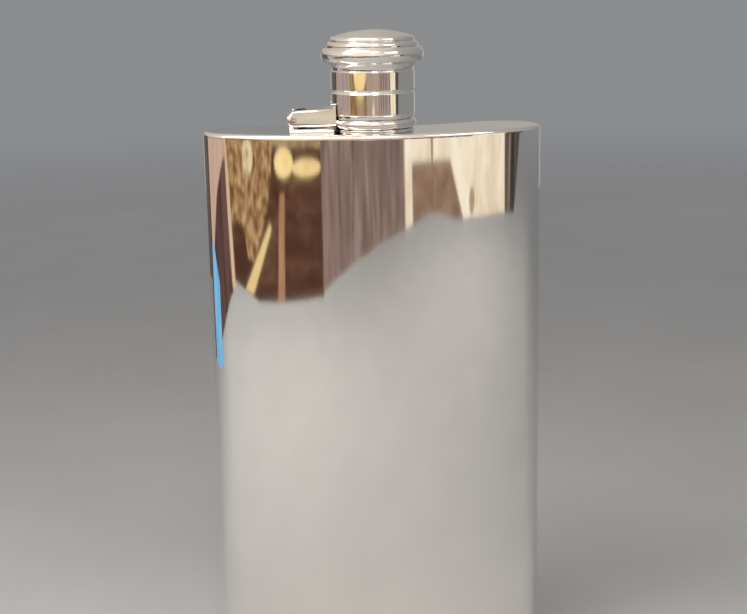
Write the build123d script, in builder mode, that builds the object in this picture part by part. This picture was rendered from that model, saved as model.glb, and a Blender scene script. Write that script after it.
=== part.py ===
"""Kidney-section metal hip flask with a captive bayonet cap on a side hinge. Millimetres, +Z up.

Origin: centre of the overall bounding box on the rest plane. -Y is the convex front, the hinge is on -X.
"""

import os
from math import asin, cos, degrees, radians

from build123d import *

os.makedirs("parts", exist_ok=True)

# Body
BODY_H = 124.0  # rest plane to the top plate's upper face
WIDTH = 76.5  # tip to tip
THICK = 19.0  # front to back, measured across the bow
FRONT_R = 65.0  # radius of the bowed front
WALL = 1.0
PLATE_T = 1.2
EDGE_R = 0.9
SPIGOT_DEPTH = 3.0
SPIGOT_T = 0.8
SOLDER_GAP = 0.05

# Neck, in heights above the top plate
BORE_R = 5.1
NECK_R = 6.0
NECK_TOP = 11.0
NECK_DEPTH = 2.5
COLLAR_R = 9.0
COLLAR_T = 0.8
LUG_R = 0.9
LUG_REACH = 7.85
LUG_SEAT = 5.35
LUG_Z = 4.6
LUG_CHAMFER = 0.15
TURNED_EDGE_R = 0.4

# Hinge
PIN_X = -17.6
PIN_Z = 2.95
PIN_R = 0.65
PIN_CLEARANCE = 0.05
PIN_END_R = 0.08
HALF_W = 4.5
HEEL_R = 1.45
CHAMFER_RISE = 0.55
CHAMFER_RUN = 1.25
CHAMFER_EDGE_R = 0.5
FOOT_LEFT = -18.5
FOOT_T = 1.2
FOOT_EDGE_R = 1.0
FOOT_GAP_R = 9.9
KNUCKLE_R = 1.3
KNUCKLE_HALF_W = 1.5
KNUCKLE_WEB = 2.08
SLOT_HALF_W = 1.6
SLOT_END = -14.9
ARM_TOP_LEFT = 4.95
ARM_TOP_RIGHT = 5.4
ARM_EDGE_R = 0.5
HORN_LEFT = -9.35
HORN_INNER_Y = 2.5
HORN_TOP = 6.4
HORN_EDGE_R = 0.2
HUG_R = 9.45

# Captive ring and its retaining wire
RING_R = 9.5
RING_BORE_R = 8.45
RING_ROOT_R = 7.0  # inside the bore, which is cut afterwards
RING_BOTTOM = 0.95
RING_TOP = 2.8
RING_ROUND = 0.45
WIRE_PITCH_R = 8.42
WIRE_Z = 1.85
WIRE_R = 0.3
WIRE_CLEARANCE = 0.1
WIRE_SPAN = 340
WIRE_START = 10

# Cap
SKIRT_R = 9.25
SKIRT_BOTTOM = 3.0
SKIRT_TOP = 13.1
HEM_Z = 3.9
HEM_R = 9.08
HEM_LINE = 0.12
GROOVE_LOW = 8.45
GROOVE_Z = 8.95
GROOVE_HIGH = 9.3
GROOVE_DEPTH = 0.3
LINER_R = 8.4
LINER_BORE_R = 7.5
LINER_BOTTOM = 1.0
LINER_WEB_Z = 12.1
CUT_IN = LINER_BORE_R - 0.5  # the slots are cut right through the liner's wall
CUT_OUT = LINER_R + 0.6
ENTRY_HALF_W = 1.25
ENTRY_TOP = 5.8
LOCK_TURN = 60
LOCK_BOTTOM = 3.55
LOCK_TOP = 5.65
LOCK_EXTRA_TURN = 8
SHOULDER_MID = (9.18, 13.37)  # (radius, height), as are the pairs below
SHOULDER = (9.0, 13.5)
CAVETTO_MID = (9.4, 14.6)
BEAD_LOW = (10.6, 15.2)
FLANGE_R = 11.35
FLANGE_Z = 16.6
BEAD_HIGH = (10.65, 18.25)
TIER_LOW = (10.1, 18.45)
TIER_MID = (10.0, 19.1)
TIER_HIGH = (9.5, 19.6)
NECKING_R = 9.15
RIM_LOW = (9.4, 19.85)
RIM_MID = (9.2, 20.4)
DOME_EDGE_R = 8.5
DOME_RISE = 1.35
CAP_TOP = 22.05
SEAL_BOTTOM = 11.05
SEAL_R = LINER_BORE_R - 0.05

# Plan of the kidney section: a bowed midline with a rounded tip at each end
HALF_T = THICK / 2
MID_R = FRONT_R - HALF_T
TIP_X = WIDTH / 2 - HALF_T
SWEEP = degrees(asin(TIP_X / MID_R))
BOW = MID_R * (1 - cos(radians(SWEEP)))
NECK_Y = (FLANGE_R - BOW - HALF_T) / 2  # centres the whole depth, cap flange to tips, on Y = 0
TIP_Y = NECK_Y + BOW
ARC_Y = NECK_Y + MID_R

NECK_PLANE = Plane(origin=(0, NECK_Y, BODY_H))
SIDE_PLANE = Plane(origin=(0, NECK_Y, BODY_H), x_dir=(1, 0, 0), z_dir=(0, -1, 0))
NECK_AXIS = Axis((0, NECK_Y, BODY_H), (0, 0, 1))


def kidney(inset):
    """Kidney outline, moved inwards by inset."""
    with BuildSketch() as outline:
        with BuildLine():
            CenterArc((0, ARC_Y), FRONT_R - inset, -90 - SWEEP, 2 * SWEEP)
            CenterArc((TIP_X, TIP_Y), HALF_T - inset, -90 + SWEEP, 180)
            CenterArc((0, ARC_Y), FRONT_R - THICK + inset, -90 + SWEEP, -2 * SWEEP)
            CenterArc((-TIP_X, TIP_Y), HALF_T - inset, 90 - SWEEP, 180)
        make_face()
    return outline.sketch


def half_wall(side):
    """Wall of one pressed half: side is -1 for the convex front, +1 for the concave back."""
    outer = MID_R - side * HALF_T
    with BuildSketch() as wall:
        with BuildLine():
            left = CenterArc((-TIP_X, TIP_Y), HALF_T, 180 - SWEEP, -side * 90)
            CenterArc((0, ARC_Y), outer, -90 - SWEEP, 2 * SWEEP)
            right = CenterArc((TIP_X, TIP_Y), HALF_T, SWEEP, side * 90)
            left_in = CenterArc((-TIP_X, TIP_Y), HALF_T - WALL, 180 - SWEEP, -side * 90)
            CenterArc((0, ARC_Y), outer + side * WALL, -90 - SWEEP, 2 * SWEEP)
            right_in = CenterArc((TIP_X, TIP_Y), HALF_T - WALL, SWEEP, side * 90)
            Line(left @ 0, left_in @ 0)
            Line(right @ 0, right_in @ 0)
        make_face()
    return wall.sketch


def profile(*corners):
    """Half section beside the neck axis from (radius, height above the top plate) corners."""
    with BuildSketch(SIDE_PLANE) as section:
        with BuildLine():
            Polyline(*corners, close=True)
        make_face()
    return section.sketch


def wire_section(radius):
    """Round section on the retaining wire's centre line."""
    with BuildSketch(SIDE_PLANE) as section:
        with Locations((WIRE_PITCH_R, WIRE_Z)):
            Circle(radius)
    return section.sketch


def keep(piece, name):
    piece.part.label = name
    export_step(piece.part, f"parts/{name}.step")


# Pressed body halves, soldered along the two tips
for name, side in (("body_front_shell", -1), ("body_back_shell", 1)):
    with BuildPart() as shell:
        with BuildSketch(Plane.XY.offset(PLATE_T)):
            add(half_wall(side))
        extrude(amount=BODY_H - 2 * PLATE_T)
    keep(shell, name)

# Top plate with its locating spigot and the neck hole
with BuildPart() as top_plate:
    with BuildSketch(Plane.XY.offset(BODY_H - PLATE_T)):
        add(kidney(0))
    extrude(amount=PLATE_T)
    fillet(top_plate.edges().group_by(Axis.Z)[-1], EDGE_R)
    with BuildSketch(Plane.XY.offset(BODY_H - PLATE_T)):
        add(kidney(WALL + SOLDER_GAP))
    extrude(amount=-SPIGOT_DEPTH)
    with BuildSketch(Plane.XY.offset(BODY_H - PLATE_T)):
        add(kidney(WALL + SOLDER_GAP + SPIGOT_T))
    extrude(amount=-SPIGOT_DEPTH, mode=Mode.SUBTRACT)
    with BuildSketch(NECK_PLANE):
        Circle(NECK_R)
    extrude(amount=-PLATE_T, mode=Mode.SUBTRACT)
keep(top_plate, "top_plate")

# Base plate with its locating spigot
with BuildPart() as base_plate:
    with BuildSketch(Plane.XY):
        add(kidney(0))
    extrude(amount=PLATE_T)
    fillet(base_plate.edges().group_by(Axis.Z)[0], EDGE_R)
    with BuildSketch(Plane.XY.offset(PLATE_T)):
        add(kidney(WALL + SOLDER_GAP))
    extrude(amount=SPIGOT_DEPTH)
    with BuildSketch(Plane.XY.offset(PLATE_T)):
        add(kidney(WALL + SOLDER_GAP + SPIGOT_T))
    extrude(amount=SPIGOT_DEPTH, mode=Mode.SUBTRACT)
keep(base_plate, "base_plate")

# Collar round the foot of the neck
with BuildPart() as neck_collar:
    revolve(profile((NECK_R, 0), (COLLAR_R, 0), (COLLAR_R, COLLAR_T), (NECK_R, COLLAR_T)), axis=NECK_AXIS)
    top_edges = neck_collar.edges().filter_by(GeomType.CIRCLE).group_by(Axis.Z)[-1]
    fillet(top_edges.sort_by(SortBy.RADIUS)[-1], TURNED_EDGE_R)
keep(neck_collar, "neck_collar")

# Neck tube, with a blind seat on the front and the back for the bayonet lugs
with BuildPart() as neck_tube:
    tube = profile((BORE_R, -NECK_DEPTH), (NECK_R, -NECK_DEPTH), (NECK_R, NECK_TOP), (BORE_R, NECK_TOP))
    revolve(tube, axis=NECK_AXIS)
    fillet(neck_tube.edges().group_by(Axis.Z)[-1].sort_by(SortBy.RADIUS)[-1], TURNED_EDGE_R)
    for side in (-1, 1):
        lug_plane = Plane(origin=(0, NECK_Y + side * LUG_SEAT, BODY_H + LUG_Z), z_dir=(0, side, 0))
        with BuildSketch(lug_plane):
            Circle(LUG_R)
        extrude(amount=NECK_R, mode=Mode.SUBTRACT)
keep(neck_tube, "neck_tube")

# Bayonet lugs
for name, side in (("bayonet_lug_front", -1), ("bayonet_lug_back", 1)):
    with BuildPart() as lug:
        with BuildSketch(Plane(origin=(0, NECK_Y + side * LUG_SEAT, BODY_H + LUG_Z), z_dir=(0, side, 0))):
            Circle(LUG_R)
        extrude(amount=LUG_REACH - LUG_SEAT)
        chamfer(lug.edges().sort_by(Axis.Y)[-1 if side > 0 else 0], LUG_CHAMFER)
    keep(lug, name)

# Hinge bracket: a foot soldered to the top plate and a single knuckle
with BuildPart() as hinge_bracket:
    with BuildSketch(SIDE_PLANE):
        with Locations((FOOT_LEFT, 0)):
            Rectangle(-FOOT_LEFT - NECK_R, FOOT_T, align=(Align.MIN, Align.MIN))
    extrude(amount=HALF_W, both=True)
    with BuildSketch(NECK_PLANE):
        Circle(FOOT_GAP_R)
    extrude(amount=FOOT_T, mode=Mode.SUBTRACT)
    fillet(hinge_bracket.edges().group_by(Axis.Z)[-1], FOOT_EDGE_R)
    with BuildSketch(SIDE_PLANE):
        with Locations((PIN_X, PIN_Z)):
            Circle(KNUCKLE_R)
        with Locations((PIN_X, FOOT_T / 2)):
            Rectangle(KNUCKLE_WEB, PIN_Z - FOOT_T / 2, align=(Align.CENTER, Align.MIN))
    extrude(amount=KNUCKLE_HALF_W, both=True)
    with BuildSketch(SIDE_PLANE):
        with Locations((PIN_X, PIN_Z)):
            Circle(PIN_R)
    extrude(amount=HALF_W, both=True, mode=Mode.SUBTRACT)
keep(hinge_bracket, "hinge_bracket")

# Hinge pin, pressed into the knuckle, its rounded ends almost flush with the fork's cheeks
with BuildPart() as hinge_pin:
    with BuildSketch(SIDE_PLANE):
        with Locations((PIN_X, PIN_Z)):
            Circle(PIN_R)
    extrude(amount=HALF_W - PIN_CLEARANCE, both=True)
    fillet(hinge_pin.edges().group_by(Axis.Y)[0] + hinge_pin.edges().group_by(Axis.Y)[-1], PIN_END_R)
keep(hinge_pin, "hinge_pin")

# Hinge arm: forked block, two horns hugging the cap, and the ring the cap turns in, in one piece
ring_low = (RING_R - RING_ROUND, RING_BOTTOM)
ring_high = (RING_R - RING_ROUND, RING_TOP)
with BuildPart() as hinge_arm:
    with BuildSketch(SIDE_PLANE):
        with BuildLine():
            heel = CenterArc((PIN_X, PIN_Z), HEEL_R, 180, 90)
            Polyline(
                heel @ 1,
                (0, PIN_Z - HEEL_R),
                (0, ARM_TOP_RIGHT),
                (HORN_LEFT, ARM_TOP_RIGHT),
                (PIN_X - HEEL_R + CHAMFER_RUN, ARM_TOP_LEFT),
                (PIN_X - HEEL_R, PIN_Z + CHAMFER_RISE),
                heel @ 0,
            )
        make_face()
    extrude(amount=HALF_W, both=True)
    chamfer_ends = hinge_arm.edges().filter_by(Axis.Y).sort_by(Axis.X)[:4].sort_by(Axis.Z)[-2:]
    fillet(chamfer_ends, CHAMFER_EDGE_R)
    fillet(hinge_arm.edges().group_by(Axis.Y)[0] + hinge_arm.edges().group_by(Axis.Y)[-1], ARM_EDGE_R)
    with BuildSketch(NECK_PLANE.offset(PIN_Z)):
        horn_w = HALF_W - HORN_INNER_Y
        with Locations((HORN_LEFT, HORN_INNER_Y + horn_w / 2), (HORN_LEFT, -HORN_INNER_Y - horn_w / 2)):
            Rectangle(-HORN_LEFT - RING_ROOT_R, horn_w, align=(Align.MIN, Align.CENTER))
    extrude(amount=HORN_TOP - PIN_Z)
    fillet(hinge_arm.edges().group_by(Axis.Z)[-1], HORN_EDGE_R)
    with BuildSketch(NECK_PLANE.offset(RING_TOP)):
        Circle(HUG_R)
    extrude(amount=HORN_TOP, mode=Mode.SUBTRACT)
    with BuildSketch(SIDE_PLANE):
        with BuildLine():
            Polyline(ring_high, (RING_ROOT_R, RING_TOP), (RING_ROOT_R, RING_BOTTOM), ring_low)
            ThreePointArc(ring_low, (RING_R, (RING_BOTTOM + RING_TOP) / 2), ring_high)
        make_face()
    revolve(axis=NECK_AXIS)
    with BuildSketch(NECK_PLANE):
        Circle(RING_BORE_R)
    extrude(amount=HORN_TOP, mode=Mode.SUBTRACT)
    revolve(wire_section(WIRE_R + WIRE_CLEARANCE), axis=NECK_AXIS, mode=Mode.SUBTRACT)
    with BuildSketch(SIDE_PLANE):
        with Locations((PIN_X - 2 * HEEL_R, 0)):
            Rectangle(SLOT_END - PIN_X + 2 * HEEL_R, 2 * HORN_TOP, align=(Align.MIN, Align.CENTER))
    extrude(amount=SLOT_HALF_W, both=True, mode=Mode.SUBTRACT)
    with BuildSketch(SIDE_PLANE):
        with Locations((PIN_X, PIN_Z)):
            Circle(PIN_R + PIN_CLEARANCE)
    extrude(amount=HALF_W, both=True, mode=Mode.SUBTRACT)
keep(hinge_arm, "hinge_arm")

# Cap skirt: tapered hem, fine line above it, and a middle groove with a gentle lower flank
with BuildPart() as cap_skirt:
    skirt = profile(
        (LINER_R, SKIRT_BOTTOM),
        (HEM_R, SKIRT_BOTTOM),
        (SKIRT_R - HEM_LINE / 2, HEM_Z - HEM_LINE),
        (SKIRT_R - HEM_LINE, HEM_Z),
        (SKIRT_R, HEM_Z + HEM_LINE),
        (SKIRT_R, GROOVE_LOW),
        (SKIRT_R - GROOVE_DEPTH, GROOVE_Z),
        (SKIRT_R, GROOVE_HIGH),
        (SKIRT_R, SKIRT_TOP),
        (LINER_R, SKIRT_TOP),
    )
    revolve(skirt, axis=NECK_AXIS)
keep(cap_skirt, "cap_skirt")

# Cap top: rounded shoulder, cavetto, flange bead, stepped tier, rim and a shallow dome
dome_r = (DOME_EDGE_R**2 + DOME_RISE**2) / (2 * DOME_RISE)
dome_angle = degrees(asin(DOME_EDGE_R / dome_r))
with BuildPart() as cap_top:
    with BuildSketch(SIDE_PLANE):
        with BuildLine():
            ThreePointArc((SKIRT_R, SKIRT_TOP), SHOULDER_MID, SHOULDER)
            ThreePointArc(SHOULDER, CAVETTO_MID, BEAD_LOW)
            ThreePointArc(BEAD_LOW, (FLANGE_R, FLANGE_Z), BEAD_HIGH)
            Polyline(BEAD_HIGH, (TIER_LOW[0], BEAD_HIGH[1]), TIER_LOW)
            ThreePointArc(TIER_LOW, TIER_MID, TIER_HIGH)
            Polyline(TIER_HIGH, (NECKING_R, TIER_HIGH[1]), (NECKING_R, RIM_LOW[1]), RIM_LOW)
            ThreePointArc(RIM_LOW, RIM_MID, (DOME_EDGE_R, CAP_TOP - DOME_RISE))
            CenterArc((0, CAP_TOP - dome_r), dome_r, 90 - dome_angle, dome_angle)
            Polyline((0, CAP_TOP), (0, SKIRT_TOP), (SKIRT_R, SKIRT_TOP))
        make_face()
    revolve(axis=NECK_AXIS)
keep(cap_top, "cap_top")

# Bayonet liner: a cup with two L slots, and a seat for the retaining wire
with BuildPart() as cap_liner:
    cup = profile(
        (LINER_BORE_R, LINER_BOTTOM),
        (LINER_R, LINER_BOTTOM),
        (LINER_R, SKIRT_TOP),
        (0, SKIRT_TOP),
        (0, LINER_WEB_Z),
        (LINER_BORE_R, LINER_WEB_Z),
    )
    revolve(cup, axis=NECK_AXIS)
    revolve(wire_section(WIRE_R), axis=NECK_AXIS, mode=Mode.SUBTRACT)
    for start in (90, 270):
        with BuildSketch(NECK_PLANE.offset(LINER_BOTTOM)):
            with PolarLocations(LINER_R, 1, start_angle=start):
                Rectangle(2 * (CUT_OUT - LINER_BORE_R), 2 * ENTRY_HALF_W)
        extrude(amount=ENTRY_TOP - LINER_BOTTOM, mode=Mode.SUBTRACT)
        leg = profile((CUT_IN, LOCK_BOTTOM), (CUT_OUT, LOCK_BOTTOM), (CUT_OUT, LOCK_TOP), (CUT_IN, LOCK_TOP))
        turn = LOCK_TURN + LOCK_EXTRA_TURN
        revolve(leg.rotate(NECK_AXIS, start), axis=NECK_AXIS, revolution_arc=turn, mode=Mode.SUBTRACT)
keep(cap_liner, "cap_liner")

# Seal disc under the liner's web
with BuildPart() as cap_seal:
    disc = profile((0, SEAL_BOTTOM), (SEAL_R, SEAL_BOTTOM), (SEAL_R, LINER_WEB_Z), (0, LINER_WEB_Z))
    revolve(disc, axis=NECK_AXIS)
keep(cap_seal, "cap_seal")

# Retaining wire: an open spring ring half in the liner, half in the arm's ring
with BuildPart() as retaining_wire:
    revolve(wire_section(WIRE_R).rotate(NECK_AXIS, WIRE_START), axis=NECK_AXIS, revolution_arc=WIRE_SPAN)
keep(retaining_wire, "retaining_wire")
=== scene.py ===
"""Looks for the kidney-section hip flask: mirror-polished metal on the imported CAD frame. Metres, +Z up."""

from math import asin, atan2, cos, pi, radians, sin, sqrt

import bmesh
import bpy
from mathutils import Matrix, Vector, noise


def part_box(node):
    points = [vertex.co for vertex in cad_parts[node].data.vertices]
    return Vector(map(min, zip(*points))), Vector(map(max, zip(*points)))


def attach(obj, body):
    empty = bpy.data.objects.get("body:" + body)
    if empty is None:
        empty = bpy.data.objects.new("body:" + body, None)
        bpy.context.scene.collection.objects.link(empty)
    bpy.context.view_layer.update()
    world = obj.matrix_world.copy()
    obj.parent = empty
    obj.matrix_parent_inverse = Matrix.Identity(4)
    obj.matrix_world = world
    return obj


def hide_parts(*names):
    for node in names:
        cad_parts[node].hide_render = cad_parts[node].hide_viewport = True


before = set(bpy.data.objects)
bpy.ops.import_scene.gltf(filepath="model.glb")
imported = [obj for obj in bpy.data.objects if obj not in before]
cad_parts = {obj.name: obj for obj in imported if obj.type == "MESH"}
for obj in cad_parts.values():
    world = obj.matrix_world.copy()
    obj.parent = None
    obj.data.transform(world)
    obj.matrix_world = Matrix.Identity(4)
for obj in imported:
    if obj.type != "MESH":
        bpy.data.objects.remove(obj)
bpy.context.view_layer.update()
MM = 0.001

# The flask's own dimensions, in millimetres, as in the CAD
WIDTH, THICK, FRONT_R, WALL, EDGE_R = 76.5, 19.0, 65.0, 1.0, 0.9
HALF_T = THICK / 2
MID_R = FRONT_R - HALF_T
TIP_X = WIDTH / 2 - HALF_T
SWEEP = asin(TIP_X / MID_R)
NECK_Y = (11.35 - MID_R * (1 - cos(SWEEP)) - HALF_T) / 2
TIP_Y = NECK_Y + MID_R * (1 - cos(SWEEP))
ARC_Y = NECK_Y + MID_R
PLATE_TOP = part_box("top_plate")[1].z / MM
PLATE_T = 1.2

OUTLINE_STEP = 0.9  # length of a straight step along the kidney outline
BODY_ROWS = 96  # rows of faces up the body
FADE = 6  # the body's unevenness fades out this near its top and base
SEAM_STEPS = 8  # and over this many steps at its two seams
TIP_EXTRA = 8  # steps added round each tip of the outline
EDGE_STEPS, DOME_STEPS, BORE_STEPS = 8, 18, 96  # plates' rounded edge, cap's dome, hole in the top plate
RIM_RING, SPIGOT_RING = 0.08, 0.15  # widths of the narrow flat rings round the plates' filled faces
RIPPLE_COARSE, RIPPLE_FINE = 0.011, 0.004  # heights of the body's unevenness
SPIGOT_GAP, SPIGOT_T, SPIGOT_H = 0.05, 0.8, 3.0
NECK_R, BORE_R, NECK_TOP, NECK_FOOT = 6.0, 5.1, 11.0, -2.5
COLLAR_R, COLLAR_T = 9.0, 0.8
LINER_R, SKIRT_R, SKIRT_BOTTOM, SKIRT_TOP = 8.4, 9.25, 3.0, 13.1


# ---------------------------------------------------------------- node helpers
def node_of(tree, kind, **values):
    n = tree.nodes.new(kind)
    for key, value in values.items():
        if key in n.inputs.keys():
            n.inputs[key].default_value = value
        else:
            setattr(n, key, value)
    return n


def ramp(tree, factor, stops, mode="LINEAR"):
    n = tree.nodes.new("ShaderNodeValToRGB")
    n.color_ramp.interpolation = mode
    while len(n.color_ramp.elements) < len(stops):
        n.color_ramp.elements.new(0.5)
    for element, (place, colour) in zip(n.color_ramp.elements, stops):
        element.position = place
        element.color = (*colour, 1) if isinstance(colour, tuple) else (colour, colour, colour, 1)
    tree.links.new(factor, n.inputs["Fac"])
    return n.outputs["Color"]


def place(tree, scale):
    """Object-space position in millimetres, stretched by scale."""
    where = node_of(tree, "ShaderNodeTexCoord")
    n = tree.nodes.new("ShaderNodeVectorMath")
    n.operation = "MULTIPLY"
    n.inputs[1].default_value = [1000 * s for s in scale]
    tree.links.new(where.outputs["Object"], n.inputs[0])
    return n.outputs[0]


def noise_of(tree, vector, scale, detail=2.0, rough=0.5, distortion=0.0):
    n = node_of(
        tree,
        "ShaderNodeTexNoise",
        Scale=scale,
        Detail=detail,
        Roughness=rough,
        Distortion=distortion,
    )
    tree.links.new(vector, n.inputs["Vector"])
    return n.outputs["Fac"]


def maths(tree, operation, a, b):
    n = tree.nodes.new("ShaderNodeMath")
    n.operation = operation
    for socket, value in zip(n.inputs, (a, b)):
        if isinstance(value, (int, float)):
            socket.default_value = value
        else:
            tree.links.new(value, socket)
    return n.outputs[0]


def multiply_add(tree, a, factor, extra):
    total = maths(tree, "MULTIPLY_ADD", a, factor)
    total.node.inputs[2].default_value = extra
    return total


def new_material(name):
    m = bpy.data.materials.new(name)
    m.use_nodes = True
    tree = m.node_tree
    return m, tree, tree.nodes["Principled BSDF"]


def roughened(tree, shader, height, strength, depth):
    """Fine relief on a surface, depth in metres."""
    bump = node_of(tree, "ShaderNodeBump", Strength=strength, Distance=depth)
    tree.links.new(height, bump.inputs["Height"])
    tree.links.new(bump.outputs["Normal"], shader.inputs["Normal"])


# ---------------------------------------------------------------- materials
def polished_metal(name, tint, rough, brush):
    """Hand-polished metal: faint smears, and hairline polishing marks along brush."""
    m, tree, shader = new_material(name)
    shader.inputs["Metallic"].default_value = 1.0
    smear = noise_of(tree, place(tree, (0.05, 0.05, 0.03)), 1.0, 4.0, 0.55)
    hair = noise_of(tree, place(tree, brush), 1.0, 2.0, 0.6)
    colour = ramp(tree, smear, [(0.3, tuple(c * 0.965 for c in tint)), (0.7, tint)])
    level = multiply_add(tree, smear, rough, rough * 0.55)
    level = maths(tree, "ADD", level, maths(tree, "MULTIPLY", hair, rough * 0.35))
    tree.links.new(level, shader.inputs["Roughness"])
    tree.links.new(colour, shader.inputs["Base Color"])
    roughened(tree, shader, hair, 0.02, 0.00002)
    return m


def satin_metal(name):
    """Unpolished inner faces: turned rings and a dull film."""
    m, tree, shader = new_material(name)
    shader.inputs["Metallic"].default_value = 1.0
    rings = noise_of(tree, place(tree, (0.3, 0.3, 9.0)), 1.0, 3.0, 0.6)
    film = noise_of(tree, place(tree, (0.12, 0.12, 0.12)), 1.0, 4.0, 0.6)
    colour = ramp(tree, film, [(0.3, (0.42, 0.41, 0.4)), (0.7, (0.6, 0.59, 0.57))])
    tree.links.new(colour, shader.inputs["Base Color"])
    tree.links.new(ramp(tree, rings, [(0.3, 0.26), (0.7, 0.42)]), shader.inputs["Roughness"])
    roughened(tree, shader, rings, 0.12, 0.00005)
    return m


def rubber(name):
    """Matt black moulded rubber with a fine grain."""
    m, tree, shader = new_material(name)
    grain = noise_of(tree, place(tree, (3.0, 3.0, 3.0)), 1.0, 5.0, 0.6)
    colour = ramp(tree, grain, [(0.3, (0.012, 0.012, 0.013)), (0.7, (0.03, 0.03, 0.032))])
    tree.links.new(colour, shader.inputs["Base Color"])
    tree.links.new(ramp(tree, grain, [(0.3, 0.55), (0.7, 0.75)]), shader.inputs["Roughness"])
    roughened(tree, shader, grain, 0.2, 0.0001)
    return m


TINT = (0.9, 0.875, 0.84)
BODY_METAL = polished_metal("polished_body", TINT, 0.035, (0.5, 0.5, 6.0))
PLATE_METAL = polished_metal("polished_plate", TINT, 0.06, (5.0, 0.6, 0.6))
TURNED_METAL = polished_metal("polished_turned", TINT, 0.05, (0.4, 0.4, 12.0))
CAST_METAL = polished_metal("polished_cast", TINT, 0.07, (1.5, 4.0, 4.0))
INNER_METAL = satin_metal("satin_inner")
SEAL_RUBBER = rubber("seal_rubber")


# ---------------------------------------------------------------- mesh helpers
def finish_mesh(bm, name, material, sharp=35):
    bmesh.ops.recalc_face_normals(bm, faces=bm.faces)
    mesh = bpy.data.meshes.new(name)
    bm.to_mesh(mesh)
    bm.free()
    for face in mesh.polygons:
        face.use_smooth = True
    mesh.set_sharp_from_angle(angle=radians(sharp))
    obj = bpy.data.objects.new(name, mesh)
    bpy.context.scene.collection.objects.link(obj)
    mesh.materials.append(material)
    flat = obj.modifiers.new("flat_faces_stay_flat", "WEIGHTED_NORMAL")
    flat.keep_sharp = True
    return obj


def arc(cx, cy, r, start, sweep, steps):
    turns = [start + sweep * i / steps for i in range(steps + 1)]
    return [(cx + r * cos(a), cy + r * sin(a)) for a in turns]


def count(r, sweep):
    """Number of steps for an arc of the outline, about OUTLINE_STEP long each."""
    return max(12, round(abs(r * sweep) / OUTLINE_STEP))


def kidney(inset):
    """Closed kidney outline as (x, y) points."""
    outer, inner, tip = FRONT_R - inset, FRONT_R - THICK + inset, HALF_T - inset
    points = arc(0, ARC_Y, outer, -pi / 2 - SWEEP, 2 * SWEEP, count(FRONT_R, 2 * SWEEP))[:-1]
    points += arc(TIP_X, TIP_Y, tip, -pi / 2 + SWEEP, pi, count(HALF_T, pi) + TIP_EXTRA)[:-1]
    points += arc(0, ARC_Y, inner, -pi / 2 + SWEEP, -2 * SWEEP, count(FRONT_R - THICK, 2 * SWEEP))[:-1]
    points += arc(-TIP_X, TIP_Y, tip, pi / 2 - SWEEP, pi, count(HALF_T, pi) + TIP_EXTRA)[:-1]
    return points


def half_path(side, inset):
    """Open path of one half's wall from the left tip to the right tip: side -1 front, +1 back."""
    big = MID_R - side * (HALF_T - inset)
    quarter = count(HALF_T, pi / 2) + TIP_EXTRA // 2
    points = arc(-TIP_X, TIP_Y, HALF_T - inset, pi - SWEEP, -side * pi / 2, quarter)[:-1]
    points += arc(0, ARC_Y, big, -pi / 2 - SWEEP, 2 * SWEEP, count(MID_R - side * HALF_T, 2 * SWEEP))
    points += arc(TIP_X, TIP_Y, HALF_T - inset, SWEEP + side * pi / 2, -side * pi / 2, quarter)[1:]
    return points


def loop(bm, points, z):
    return [bm.verts.new((x * MM, y * MM, z * MM)) for x, y in points]


def bridge(bm, a, b, closed=True):
    for i in range(len(a) if closed else len(a) - 1):
        j = (i + 1) % len(a)
        bm.faces.new((a[i], a[j], b[j], b[i]))


def ripple(x, y, z):
    """Hand-finishing unevenness of the body sheet, in millimetres."""
    p = Vector((x / 26, y / 26, z / 34))
    return RIPPLE_COARSE * noise.noise(p) + RIPPLE_FINE * noise.noise(p * 2.3 + Vector((7, 3, 1)))


def body_half(name, side):
    """Pressed half of the body: polished outside, satin inside, with a faint hand-worked unevenness."""
    z0, z1 = PLATE_T, PLATE_TOP - PLATE_T
    outer, inner = half_path(side, 0), half_path(side, WALL)
    bm = bmesh.new()
    skins = []
    for path, uneven in ((outer, True), (inner, False)):
        rings = []
        for r in range(BODY_ROWS + 1):
            z = z0 + (z1 - z0) * r / BODY_ROWS
            fade = min(1.0, (z - z0) / FADE, (z1 - z) / FADE)
            ring = []
            for i, (x, y) in enumerate(path):
                ends = min(1.0, i / SEAM_STEPS, (len(path) - 1 - i) / SEAM_STEPS)
                ax, ay = path[max(0, i - 1)]
                bx, by = path[min(len(path) - 1, i + 1)]
                tx, ty = bx - ax, by - ay
                size = sqrt(tx * tx + ty * ty)
                d = ripple(x, y, z) * fade * ends if uneven else 0.0
                ring.append(bm.verts.new(((x + ty / size * d) * MM, (y - tx / size * d) * MM, z * MM)))
            rings.append(ring)
        for a, b in zip(rings, rings[1:]):
            bridge(bm, a, b, closed=False)
        skins.append(rings)
    outside = len(bm.faces) // 2  # both skins have the same number of faces, the outer one's first
    bm.faces.ensure_lookup_table()
    for face in bm.faces[outside:]:
        face.material_index = 1
    out_rings, in_rings = skins
    for row in (0, -1):
        bridge(bm, out_rings[row], in_rings[row], closed=False)
    for end in (0, -1):
        edge_out, edge_in = [r[end] for r in out_rings], [r[end] for r in in_rings]
        bridge(bm, edge_out, edge_in, closed=False)
    obj = finish_mesh(bm, name, BODY_METAL, 50)
    obj.data.materials.append(INNER_METAL)
    return obj


def fill_between(bm, loops):
    """Flat face inside the first loop, less the other loops."""
    edges = []
    for ring in loops:
        for pair in zip(ring, ring[1:] + ring[:1]):
            edges.append(bm.edges.get(pair) or bm.edges.new(pair))
    bmesh.ops.triangle_fill(bm, use_beauty=True, edges=edges)


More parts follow.
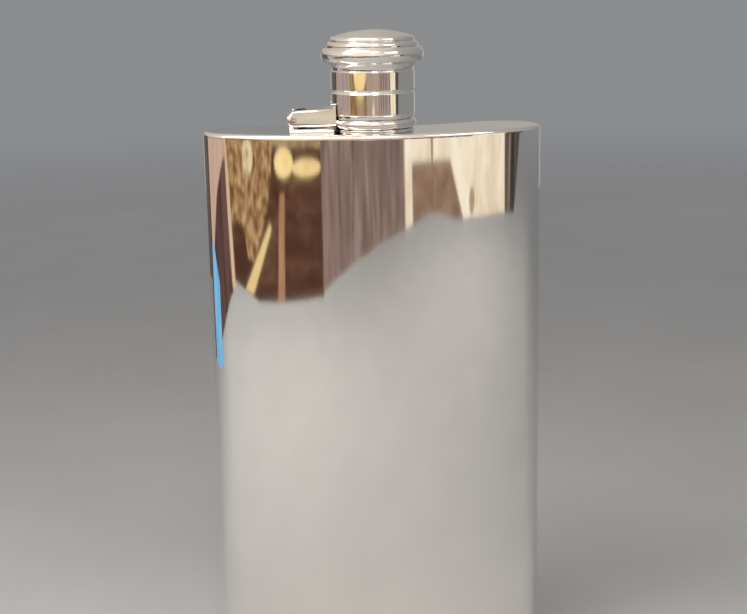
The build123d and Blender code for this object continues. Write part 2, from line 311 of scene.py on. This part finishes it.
def end_plate(name, face_z, inward, hole):
    """Top or base plate: rounded rim, flat face, locating spigot.

    Inward is the way into the body: -1 for the top plate, +1 for the base plate.
    """
    bm = bmesh.new()
    rings = [loop(bm, kidney(0), face_z + inward * PLATE_T)]
    for i in range(EDGE_STEPS + 1):
        a = pi / 2 * i / EDGE_STEPS
        rings.append(loop(bm, kidney(EDGE_R * (1 - cos(a))), face_z + inward * EDGE_R * (1 - sin(a))))
    rings.append(loop(bm, kidney(EDGE_R + RIM_RING), face_z))
    for a, b in zip(rings, rings[1:]):
        bridge(bm, a, b)
    inside = face_z + inward * PLATE_T
    near = WALL + SPIGOT_GAP
    far = near + SPIGOT_T
    spigot = [(near, 0), (near, SPIGOT_H), (far, SPIGOT_H), (far, 0), (far + SPIGOT_RING, 0)]
    under = [rings[0]] + [loop(bm, kidney(i), inside + inward * depth) for i, depth in spigot]
    for a, b in zip(under, under[1:]):
        bridge(bm, a, b)
    if hole:
        circle = arc(0, NECK_Y, NECK_R, 0, 2 * pi, BORE_STEPS)[:-1]
        top, low = loop(bm, circle, face_z), loop(bm, circle, inside)
        bridge(bm, top, low)
        fill_between(bm, [rings[-1], top])
        fill_between(bm, [under[-1], low])
    else:
        fill_between(bm, [rings[-1]])
        fill_between(bm, [under[-1]])
    return finish_mesh(bm, name, PLATE_METAL)


def lathe(name, corners, material, steps=160, sharp=35, closed=True):
    """Turned piece about the neck axis from (radius, height above the top plate) corners."""
    bm = bmesh.new()
    rings = []
    for r, h in corners:
        z = (PLATE_TOP + h) * MM
        if r < 1e-6:
            rings.append([bm.verts.new((0, NECK_Y * MM, z))])
        else:
            rings.append(loop(bm, arc(0, NECK_Y, r, 0, 2 * pi, steps)[:-1], PLATE_TOP + h))
    pairs = list(zip(rings, rings[1:])) + ([(rings[-1], rings[0])] if closed else [])
    for a, b in pairs:
        if len(a) == len(b) == 1:
            continue
        if len(a) == 1 or len(b) == 1:
            tip, ring = (a[0], b) if len(a) == 1 else (b[0], a)
            for i in range(len(ring)):
                bm.faces.new((ring[i], ring[(i + 1) % len(ring)], tip))
        else:
            bridge(bm, a, b)
    return finish_mesh(bm, name, material, sharp)


def curve_through(a, b, c, steps=10):
    """Points on the circle from a through b to c."""
    (ax, ay), (bx, by), (cx, cy) = a, b, c
    d = 2 * (ax * (by - cy) + bx * (cy - ay) + cx * (ay - by))
    ux = ((ax**2 + ay**2) * (by - cy) + (bx**2 + by**2) * (cy - ay) + (cx**2 + cy**2) * (ay - by)) / d
    uy = ((ax**2 + ay**2) * (cx - bx) + (bx**2 + by**2) * (ax - cx) + (cx**2 + cy**2) * (bx - ax)) / d
    r = sqrt((ax - ux) ** 2 + (ay - uy) ** 2)
    start, mid, end = (atan2(y - uy, x - ux) for x, y in (a, b, c))

    def shortest(turn):
        return (turn + pi) % (2 * pi) - pi

    sweep = shortest(mid - start) + shortest(end - mid)
    return arc(ux, uy, r, start, sweep, steps)


def soften(corners, r=0.06, steps=3):
    """Corners of an outline, each worn round over about r millimetres."""
    worn = [corners[0]]
    for a, b, c in zip(corners, corners[1:], corners[2:]):
        cuts = []
        for end in (a, c):
            gap = sqrt((end[0] - b[0]) ** 2 + (end[1] - b[1]) ** 2)
            t = min(r / gap, 0.35)
            cuts.append((b[0] + (end[0] - b[0]) * t, b[1] + (end[1] - b[1]) * t))
        for i in range(steps + 1):
            t = i / steps
            ends = zip(cuts[0], b, cuts[1])
            worn.append(tuple((1 - t) ** 2 * p + 2 * t * (1 - t) * q + t * t * w for p, q, w in ends))
    return worn + [corners[-1]]


def smooth_copy(node, name, material, sharp=28):
    """A welded copy of a CAD node's mesh, shaded smooth across its curved faces."""
    bm = bmesh.new()
    bm.from_mesh(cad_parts[node].data)
    bmesh.ops.remove_doubles(bm, verts=bm.verts, dist=1e-6)
    return finish_mesh(bm, name, material, sharp)


def put(obj, body, *nodes, slot="polished_metal"):
    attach(obj, body)
    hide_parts(*nodes)


# ---------------------------------------------------------------- body
put(body_half("front_half_skin", -1), "flask", "body_front_shell")
put(body_half("back_half_skin", 1), "flask", "body_back_shell")
put(end_plate("top_plate_skin", PLATE_TOP, -1, True), "flask", "top_plate")
put(end_plate("base_plate_skin", 0.0, 1, False), "flask", "base_plate")

# ---------------------------------------------------------------- neck
collar = soften([(NECK_R, 0), (COLLAR_R, 0), (COLLAR_R, COLLAR_T), (NECK_R, COLLAR_T)], 0.3, 6)
put(lathe("neck_collar_turned", collar, TURNED_METAL), "flask", "neck_collar")
neck = soften(
    [
        (BORE_R, NECK_FOOT),
        (NECK_R, NECK_FOOT),
        (NECK_R, NECK_TOP),
        (BORE_R, NECK_TOP),
        (BORE_R, NECK_TOP - 1),
    ],
    0.35,
    6,
)
put(lathe("neck_tube_turned", neck, INNER_METAL), "flask", "neck_tube", slot="satin_metal")

# ---------------------------------------------------------------- cap
# Outlines are (radius, height above the top plate) corners at the CAD's own sizes
skirt = [
    (LINER_R, SKIRT_BOTTOM),
    (9.08, SKIRT_BOTTOM),
    (9.19, 3.78),
    (9.13, 3.9),
    (SKIRT_R, 4.02),
    (SKIRT_R, 8.45),
    (SKIRT_R - 0.3, 8.95),
    (SKIRT_R, 9.3),
    (SKIRT_R, SKIRT_TOP),
    (LINER_R, SKIRT_TOP),
]
put(lathe("cap_skirt_turned", soften(skirt), TURNED_METAL, sharp=40), "cap", "cap_skirt")
SHOULDER, BEAD_LOW, BEAD_HIGH = (9.0, 13.5), (10.6, 15.2), (10.65, 18.25)
TIER_LOW, TIER_HIGH, NECKING_R, RIM_LOW = (10.1, 18.45), (9.5, 19.6), 9.15, (9.4, 19.85)
CAP_TOP, DOME_EDGE_R, DOME_RISE = 22.05, 8.5, 1.35
DOME_R = (DOME_EDGE_R**2 + DOME_RISE**2) / (2 * DOME_RISE)
dome_radii = [DOME_EDGE_R * (1 - i / DOME_STEPS) for i in range(DOME_STEPS + 1)]
cap = curve_through((SKIRT_R, SKIRT_TOP), (9.18, 13.37), SHOULDER, 8)
cap += curve_through(SHOULDER, (9.4, 14.6), BEAD_LOW, 14)[1:]
cap += curve_through(BEAD_LOW, (11.35, 16.6), BEAD_HIGH, 18)[1:]
cap += soften([BEAD_HIGH, (TIER_LOW[0], BEAD_HIGH[1]), TIER_LOW], 0.08)[1:]
cap += curve_through(TIER_LOW, (10.0, 19.1), TIER_HIGH, 10)[1:]
cap += soften([TIER_HIGH, (NECKING_R, TIER_HIGH[1]), (NECKING_R, RIM_LOW[1]), RIM_LOW], 0.05)[1:]
cap += curve_through(RIM_LOW, (9.2, 20.4), (DOME_EDGE_R, CAP_TOP - DOME_RISE), 10)[1:]
cap += [(r, CAP_TOP - DOME_R + sqrt(DOME_R**2 - r**2)) for r in dome_radii[1:]]
put(lathe("cap_top_turned", cap + [(0, SKIRT_TOP)], TURNED_METAL), "cap", "cap_top")

# ---------------------------------------------------------------- pieces that keep the CAD's shape
for node, body, material, slot in (
    ("hinge_arm", "arm", CAST_METAL, "polished_metal"),
    ("hinge_bracket", "flask", CAST_METAL, "polished_metal"),
    ("hinge_pin", "flask", TURNED_METAL, "polished_metal"),
    ("bayonet_lug_front", "flask", TURNED_METAL, "polished_metal"),
    ("bayonet_lug_back", "flask", TURNED_METAL, "polished_metal"),
    ("cap_liner", "cap", INNER_METAL, "satin_metal"),
    ("cap_seal", "cap", SEAL_RUBBER, "seal_rubber"),
    ("retaining_wire", "cap", INNER_METAL, "satin_metal"),
):
    put(smooth_copy(node, node + "_finished", material), body, node, slot=slot)


# ---------------------------------------------------------------- floor
FLOOR_R = 2.0


def plain_floor():
    """Pale round floor that fades out into the studio's grey."""
    m, tree, shader = new_material("plain_floor")
    shader.inputs["Roughness"].default_value = 0.75
    where = node_of(tree, "ShaderNodeTexCoord")
    grain = noise_of(tree, place(tree, (0.02, 0.02, 0.02)), 1.0, 2.0)
    colour = ramp(tree, grain, [(0.3, (0.48, 0.48, 0.48)), (0.7, (0.51, 0.51, 0.51))])
    tree.links.new(colour, shader.inputs["Base Color"])
    reach = tree.nodes.new("ShaderNodeVectorMath")
    reach.operation = "LENGTH"
    tree.links.new(where.outputs["Object"], reach.inputs[0])
    clear = node_of(tree, "ShaderNodeBsdfTransparent")
    blend = tree.nodes.new("ShaderNodeMixShader")
    reached = maths(tree, "MULTIPLY", reach.outputs["Value"], 1 / FLOOR_R)
    tree.links.new(ramp(tree, reached, [(0.12, 0.0), (0.7, 1.0)], "EASE"), blend.inputs["Fac"])
    tree.links.new(shader.outputs[0], blend.inputs[1])
    tree.links.new(clear.outputs[0], blend.inputs[2])
    tree.links.new(blend.outputs[0], tree.nodes["Material Output"].inputs["Surface"])
    bm = bmesh.new()
    bmesh.ops.create_circle(bm, cap_ends=True, radius=FLOOR_R, segments=96)
    floor = finish_mesh(bm, "floor", m)


plain_floor()


# ---------------------------------------------------------------- what the metal reflects
# A plain stand-in for a room: glowing cards around the flask and a glow overhead, seen only in reflections.
# Azimuths are in degrees from the front, + to the right; distances are in metres and heights in millimetres.
LEFT, RIGHT, TIP, BEHIND = 0.40, 0.62, 0.285, 0.45  # distances of the four groups of cards
LAYER = 0.001  # how much nearer a card stands than the one it is laid over
CARD_TOP = 150
CARD_STEP = 0.6  # degrees between a card's upright edges
WAVE_SIZE = 5  # degrees over which a wavy edge goes up and down
CEILING_R, CEILING_ROWS, CEILING_SIDES = 1.5, 12, 64
RIM_RISE, RIM_TILT = 8, 5  # degrees above the floor of the glow's rim, and how much more it is at the back


def emitter(name, stops, across, upward, strength=1.0, detail=3.0):
    """Mottled glow: across and upward are the sizes of its patches, in millimetres."""
    m = bpy.data.materials.new(name)
    m.use_nodes = True
    tree = m.node_tree
    tree.nodes.clear()
    grain = noise_of(tree, place(tree, (1 / across, 1 / across, 1 / upward)), 1.0, detail, 0.55, 0.6)
    glow = node_of(tree, "ShaderNodeEmission", Strength=strength)
    out = node_of(tree, "ShaderNodeOutputMaterial")
    tree.links.new(ramp(tree, grain, stops), glow.inputs["Color"])
    tree.links.new(glow.outputs[0], out.inputs["Surface"])
    return m


def along(points, at):
    """Value at a place along a list of (place, value) points."""
    for (a, va), (b, vb) in zip(points, points[1:]):
        if at <= b:
            return va + (vb - va) * max(0.0, at - a) / (b - a)
    return points[-1][1]


def reflected_only(obj):
    obj.visible_camera = obj.visible_diffuse = obj.visible_shadow = obj.visible_transmission = False


def card(name, material, distance, low, high, wave=0.0):
    """Upright card between two edges of (azimuth, height) points.

    The distance is one number, or (azimuth, distance) points.
    """
    az0, az1 = low[0][0], low[-1][0]
    steps = max(16, round(abs(az1 - az0) / CARD_STEP))
    bm = bmesh.new()
    rows = ([], [])
    for i in range(steps + 1):
        az = az0 + (az1 - az0) * i / steps
        far = along(distance, az) if isinstance(distance, list) else distance
        for row, edge in zip(rows, (low, high)):
            z = along(edge, az) + wave * noise.noise(Vector((az / WAVE_SIZE, edge is high, 0)))
            row.append(bm.verts.new((far * sin(radians(az)), -far * cos(radians(az)), z * MM)))
    bridge(bm, *rows, closed=False)
    reflected_only(finish_mesh(bm, name, material))


def glow(name, material, distance, az, z, half_az, half_z):
    """Oval card about a centre."""
    turns = [pi * i / 16 for i in range(17)]

    def edge(side):
        return [(az - half_az * cos(t), z + side * half_z * sin(t)) for t in turns]

    card(name, material, distance, edge(-1), edge(1))


def level(az0, az1, z):
    return [(az0, z), (az1, z)]


GOLD = [
    (0.3, (0.05, 0.022, 0.01)),
    (0.42, (0.17, 0.085, 0.035)),
    (0.55, (0.42, 0.25, 0.12)),
    (0.7, (0.68, 0.48, 0.25)),
]
UMBER = [(0.3, (0.07, 0.03, 0.018)), (0.5, (0.1, 0.045, 0.028)), (0.7, (0.17, 0.085, 0.055))]
TAN = [(0.3, (0.34, 0.2, 0.12)), (0.5, (0.56, 0.38, 0.23)), (0.7, (0.66, 0.46, 0.28))]
LAMP = [(0.3, (0.95, 0.66, 0.28)), (0.6, (1.1, 0.86, 0.42))]
CREAM = [(0.3, (0.78, 0.62, 0.46)), (0.5, (0.95, 0.82, 0.63)), (0.7, (1.05, 0.96, 0.78))]
WALNUT = [(0.3, (0.2, 0.12, 0.08)), (0.5, (0.29, 0.18, 0.115)), (0.7, (0.36, 0.24, 0.16))]
TAUPE = [(0.3, (0.15, 0.1, 0.085)), (0.5, (0.25, 0.17, 0.145)), (0.7, (0.36, 0.26, 0.22))]
DUSK = [(0.3, (0.035, 0.03, 0.026)), (0.6, (0.1, 0.085, 0.075))]
BLUE = [(0.3, (0.14, 0.42, 0.75)), (0.7, (0.26, 0.62, 0.95))]
PLUM = [(0.3, (0.06, 0.03, 0.025)), (0.6, (0.15, 0.085, 0.075))]
ROSE_TAN = [(0.3, (0.5, 0.34, 0.26)), (0.7, (0.7, 0.5, 0.38))]
PATCH = [(0.3, (0.25, 0.14, 0.06)), (0.5, (0.8, 0.6, 0.35)), (0.7, (1.0, 0.88, 0.6))]
POST = [(0.3, (0.34, 0.17, 0.09)), (0.7, (0.56, 0.31, 0.18))]
ROSE = [(0.3, (0.34, 0.26, 0.24)), (0.7, (0.5, 0.4, 0.37))]
STRIPE = [(0.3, (0.6, 0.4, 0.24)), (0.7, (0.82, 0.6, 0.4))]

# Left of the front: a dark wall with a gold panel, lamps, a post and a slat
left_edge = [(-66, 20), (-58, 10), (-52, 4.5), (-45, 3.5), (-33, 3.5), (-22, 5)]
card(
    "room_left",
    emitter("umber", UMBER, across=60, upward=9),
    LEFT,
    left_edge,
    level(-66, -22, CARD_TOP),
    wave=0.8,
)
gold_edge = [
    (-66, 44),
    (-62, 48),
    (-58.5, 42),
    (-57, 26),
    (-54, 25),
    (-51, 35),
    (-47.5, 47),
    (-45, 66),
    (-43, 90),
]
card(
    "room_left_gold",
    emitter("gold", GOLD, across=13, upward=5, strength=1.1, detail=6.0),
    LEFT - 2 * LAYER,
    gold_edge,
    level(-66, -43, CARD_TOP),
    wave=3.0,
)
glow(
    "gold_patch",
    emitter("gold_pale", PATCH, across=9, upward=5, strength=1.0, detail=5.0),
    LEFT - 3 * LAYER,
    az=-55.5,
    z=77,
    half_az=2.6,
    half_z=9,
)
card(
    "room_left_top",
    emitter("tan_top", TAN, across=30, upward=9, strength=0.75),
    LEFT - 3 * LAYER,
    level(-44, -22, 80),
    level(-44, -22, 104),
    wave=3.0,
)
glow(
    "lamp_left",
    emitter("lamp_a", LAMP, across=40, upward=12),
    LEFT - 4 * LAYER,
    az=-38.8,
    z=73,
    half_az=4.4,
    half_z=7.5,
)
glow(
    "lamp_right",
    emitter("lamp_b", LAMP, across=40, upward=12, strength=0.95),
    LEFT - 4 * LAYER,
    az=-28.5,
    z=70,
    half_az=6.6,
    half_z=4.8,
)
glow(
    "lamp_high",
    emitter("lamp_c", LAMP, across=40, upward=12),
    LEFT - 4 * LAYER,
    az=-37,
    z=118,
    half_az=18,
    half_z=15,
)
post_low, post_high = [(-43.4, 4), (-40.2, 4), (-38.6, 58)], [(-43.4, 4), (-41.1, 58), (-38.6, 58)]
card("post", emitter("post_wood", POST, across=12, upward=40), LEFT - 4 * LAYER, post_low, post_high)
slant_low = [(-58.7, 12.5), (-54.8, 9), (-44.9, 41.5)]
slant_high = [(-58.7, 12.5), (-46.2, 43.5), (-44.9, 41.5)]
card(
    "slanted_slat",
    emitter("slat", LAMP, across=30, upward=20, strength=0.85),
    LEFT - 5 * LAYER,
    slant_low,
    slant_high,
)

# The left tip's surroundings, further round
tip_edge = [(-126, 5), (-106, 8), (-90, 17), (-80, 22), (-70, 28), (-64.6, 36)]
tip_top = [(-126, CARD_TOP), (-70, CARD_TOP), (-64.6, 36)]
card("left_tip_dark", emitter("tip_umber", PLUM, across=30, upward=50), TIP, tip_edge, tip_top, wave=0.4)
wedge = [(-118, 46), (-106, 56), (-90, 76), (-67.9, 90)]
card(
    "left_tip_tan",
    emitter("tip_tan", ROSE_TAN, across=18, upward=60),
    TIP - LAYER,
    wedge,
    level(-118, -67.9, 108),
)
card(
    "left_tip_pale",
    emitter("tip_rose", ROSE, across=30, upward=40),
    TIP - 2 * LAYER,
    level(-118, -69, 104),
    level(-118, -69, CARD_TOP),
)
stripe_low = [(-69.8, CARD_TOP), (-65.8, 36), (-64.2, 36)]
stripe_high = [(-69.8, CARD_TOP), (-68.2, CARD_TOP), (-64.2, 36)]
card(
    "left_stripe",
    emitter("stripe_tan", STRIPE, across=20, upward=60),
    TIP - 2 * LAYER,
    stripe_low,
    stripe_high,
)
blue_top = [(-120, 54), (-112, 57), (-94, 40)]
card(
    "blue_sliver",
    emitter("blue", BLUE, across=40, upward=40),
    TIP - 3 * LAYER,
    level(-120, -94, 4),
    blue_top,
)
SHADE = [(0.3, (0.1, 0.085, 0.075)), (0.7, (0.2, 0.175, 0.155))]
card(
    "dusk_left",
    emitter("dusk", SHADE, across=60, upward=40, strength=0.8),
    BEHIND,
    level(-148, -119, 6),
    level(-148, -119, 150),
    wave=1.0,
)

# Middle and right of the front
middle = [(-24, LEFT), (14, RIGHT)]
card(
    "room_middle",
    emitter("taupe", TAUPE, across=24, upward=60),
    middle,
    [(-23, 5), (-5, 3), (15, 0)],
    level(-23, 15, CARD_TOP),
    wave=0.8,
)
PALE_TAUPE = [(0.3, (0.33, 0.24, 0.19)), (0.5, (0.46, 0.34, 0.27)), (0.7, (0.62, 0.48, 0.38))]
high_low = [(-19, 82), (14, 65)]
middle_near = [(-24, LEFT - 5 * LAYER), (14, RIGHT - 5 * LAYER)]
card(
    "room_middle_high",
    emitter("pale_taupe", PALE_TAUPE, across=18, upward=90),
    middle_near,
    high_low,
    level(-19, 14, CARD_TOP),
)
right_edge = [
    (14, 0),
    (20, 6),
    (25, 11.5),
    (30, 12.5),
    (36, 8.5),
    (41, 7.5),
    (45, 9),
    (50, 9),
    (55, 11),
    (61, 12),
]
card(
    "room_right",
    emitter("cream", CREAM, across=50, upward=40),
    RIGHT,
    right_edge,
    level(14, 61, CARD_TOP),
    wave=0.4,
)
block_low = [(18, 4), (20, 6), (25, 11.5), (30, 12.5), (36, 8.5), (41, 7.5)]
block_high = [(18, 44), (35, 46), (41, 7.6)]
card(
    "walnut_block",
    emitter("walnut", WALNUT, across=30, upward=10),
    RIGHT - 3 * LAYER,
    block_low,
    block_high,
)
MAUVE = [(0.38, (0.13, 0.11, 0.08)), (0.5, (0.3, 0.22, 0.2)), (0.6, (0.56, 0.46, 0.42))]
card(
    "room_right_high",
    emitter("mauve_lines", MAUVE, across=16, upward=400),
    RIGHT - 4 * LAYER,
    level(14, 45.5, 68),
    level(14, 45.5, CARD_TOP),
)
card(
    "thin_post",
    emitter("thin_post", WALNUT, across=20, upward=40, strength=1.2),
    RIGHT - 4 * LAYER,
    level(26.4, 27.4, 46),
    level(26.4, 27.4, 68),
)
glow(
    "small_frame",
    emitter("frame_tan", TAN, across=20, upward=20, strength=0.8),
    RIGHT - 4 * LAYER,
    az=45,
    z=20,
    half_az=1.3,
    half_z=9,
)
card(
    "dusk_right",
    emitter("dusk_r", DUSK, across=24, upward=200, strength=1.1),
    RIGHT,
    [(61, 12), (65.7, 12), (74, 150)],
    level(61, 74, CARD_TOP),
)
line_low = [(62.2, 12), (63.4, 12), (66, CARD_TOP)]
line_high = [(62.2, 12), (64.8, CARD_TOP), (66, CARD_TOP)]
card(
    "dusk_right_line",
    emitter("line_mauve", TAUPE, across=20, upward=90, strength=0.75),
    RIGHT - 3 * LAYER,
    line_low,
    line_high,
)

# In front, above what the body sees, for the arm; and behind, for the back and the top plate
ARM_GLOW = [(0.33, (0.58, 0.48, 0.36)), (0.42, (0.85, 0.74, 0.58)), (0.52, (1.2, 1.1, 0.9))]
card(
    "arm_glow",
    emitter("arm_cream", ARM_GLOW, across=9, upward=4, strength=0.91, detail=4.0),
    0.5,
    level(-4.5, 1.5, 76.5),
    level(-4.5, 1.5, 91),
)
SOFT = [(0.35, (0.25, 0.25, 0.25)), (0.5, (0.36, 0.34, 0.31)), (0.65, (0.6, 0.55, 0.48))]
card(
    "room_behind",
    emitter("soft_behind", SOFT, across=90, upward=500, strength=1.0, detail=1.0),
    0.75,
    level(140, 208, 8),
    level(140, 208, CARD_TOP),
    wave=3.0,
)
PALE = [(0.3, (0.38, 0.36, 0.34)), (0.7, (0.46, 0.43, 0.4))]
card(
    "behind_glow",
    emitter("pale_behind", PALE, across=300, upward=60),
    0.6,
    level(150, 178, 150),
    level(150, 178, 230),
)


def ceiling():
    """Pale dome overhead, brightest in front of the flask and darker to the right."""
    m = bpy.data.materials.new("ceiling_glow")
    m.use_nodes = True
    tree = m.node_tree
    tree.nodes.clear()
    where = node_of(tree, "ShaderNodeTexCoord")
    part = tree.nodes.new("ShaderNodeSeparateXYZ")
    tree.links.new(where.outputs["Object"], part.inputs[0])
    mottle = noise_of(tree, place(tree, (0.0016, 0.0016, 0.0016)), 1.0, 2.0, 0.5)
    front = multiply_add(tree, part.outputs["Y"], -0.2, 0.5)
    side = maths(tree, "MULTIPLY", maths(tree, "MAXIMUM", part.outputs["X"], 0.0), -0.42)
    level_of = maths(tree, "ADD", maths(tree, "ADD", front, side), maths(tree, "MULTIPLY", mottle, 0.35))
    tones = [
        (0.0, (0.29, 0.295, 0.3)),
        (0.3, (0.42, 0.4, 0.37)),
        (0.6, (0.7, 0.62, 0.54)),
        (0.95, (1.1, 1.02, 0.92)),
    ]
    shine = node_of(tree, "ShaderNodeEmission", Strength=1.0)
    out = node_of(tree, "ShaderNodeOutputMaterial")
    tree.links.new(ramp(tree, level_of, tones), shine.inputs["Color"])
    tree.links.new(shine.outputs[0], out.inputs["Surface"])
    bm = bmesh.new()
    rings = []
    for i in range(CEILING_ROWS):
        ring = []
        for x, y in arc(0, 0, 1, 0, 2 * pi, CEILING_SIDES)[:-1]:
            rim = RIM_RISE + RIM_TILT * y
            tilt = radians(rim + (90 - rim) * i / CEILING_ROWS)
            flat = CEILING_R * cos(tilt)
            ring.append(bm.verts.new((flat * x, flat * y, CEILING_R * sin(tilt))))
        rings.append(ring)
    for a, b in zip(rings, rings[1:]):
        bridge(bm, a, b)
    crown = bm.verts.new((0, 0, CEILING_R))
    for a, b in zip(rings[-1], rings[-1][1:] + rings[-1][:1]):
        bm.faces.new((a, b, crown))
    reflected_only(finish_mesh(bm, "ceiling", m))


ceiling()


# ---------------------------------------------------------------- studio lights
def softbox(name, azimuth, distance, height, width, depth, power, colour, aim=(0, 0, 0.08), spread=180):
    """Rectangular area light, placed round the flask and turned to its aim. Metres and degrees."""
    data = bpy.data.lights.new(name, "AREA")
    data.shape = "RECTANGLE"
    data.size, data.size_y, data.energy, data.color = width, depth, power, colour
    data.spread = radians(spread)
    lamp = bpy.data.objects.new(name, data)
    a = radians(azimuth)
    lamp.location = (distance * sin(a), -distance * cos(a), height)
    lamp.rotation_euler = (Vector(aim) - lamp.location).to_track_quat("-Z", "Y").to_euler()
    lamp.visible_camera = False
    bpy.context.scene.collection.objects.link(lamp)


softbox(
    "window_left",
    azimuth=-62,
    distance=0.75,
    height=0.6,
    width=0.3,
    depth=0.3,
    power=1.4,
    colour=(0.97, 0.97, 1.0),
)
softbox(
    "lamp_mid",
    azimuth=5,
    distance=0.8,
    height=0.95,
    width=0.25,
    depth=0.25,
    power=1.6,
    colour=(1.0, 0.92, 0.8),
)
softbox(
    "pool_front",
    azimuth=-52,
    distance=0.34,
    height=0.5,
    width=0.35,
    depth=0.35,
    power=0.42,
    colour=(1.0, 0.97, 0.92),
    aim=(-0.14, -0.15, 0),
    spread=75,
)
softbox(
    "pool_right",
    azimuth=45,
    distance=0.6,
    height=0.45,
    width=0.3,
    depth=0.3,
    power=0.58,
    colour=(1.0, 0.96, 0.93),
    aim=(0.3, -0.33, 0),
    spread=110,
)

STUDIO_GREY = (0.26, 0.265, 0.274, 1)
world = bpy.data.worlds.new("plain_studio")
bpy.context.scene.world = world
world.use_nodes = True
world.node_tree.nodes["Background"].inputs["Color"].default_value = STUDIO_GREY
bpy.context.scene.view_settings.view_transform = "Standard"

# ---------------------------------------------------------------- camera
YAW, PITCH, ROLL = radians(2.15), radians(12.78), radians(-1.14)
# The camera stands this far to the left of, in front of and above the neck's middle at the top plate,
# in millimetres
ASIDE, AWAY, ABOVE = 0.8, 311.9, 30.7
SENSOR_WIDTH, LENS = 36.0, 67.711
across = Vector((cos(YAW), -sin(YAW), 0))
ahead = Vector((sin(YAW), cos(YAW), 0))
up = Vector((0, 0, 1))
rise = ahead * sin(PITCH) + up * cos(PITCH)
right = across * cos(ROLL) + rise * sin(ROLL)
top = -across * sin(ROLL) + rise * cos(ROLL)
back = right.cross(top)
spot = Vector((0, NECK_Y, PLATE_TOP)) - across * ASIDE - ahead * AWAY + up * ABOVE
camera_data = bpy.data.cameras.new("camera")
camera_data.sensor_width = SENSOR_WIDTH
camera_data.lens = LENS
camera_data.clip_start = 0.01
camera = bpy.data.objects.new("camera", camera_data)
camera.matrix_world = Matrix.Translation(spot * MM) @ Matrix((right, top, back)).transposed().to_4x4()
bpy.context.scene.collection.objects.link(camera)
bpy.context.scene.camera = camera
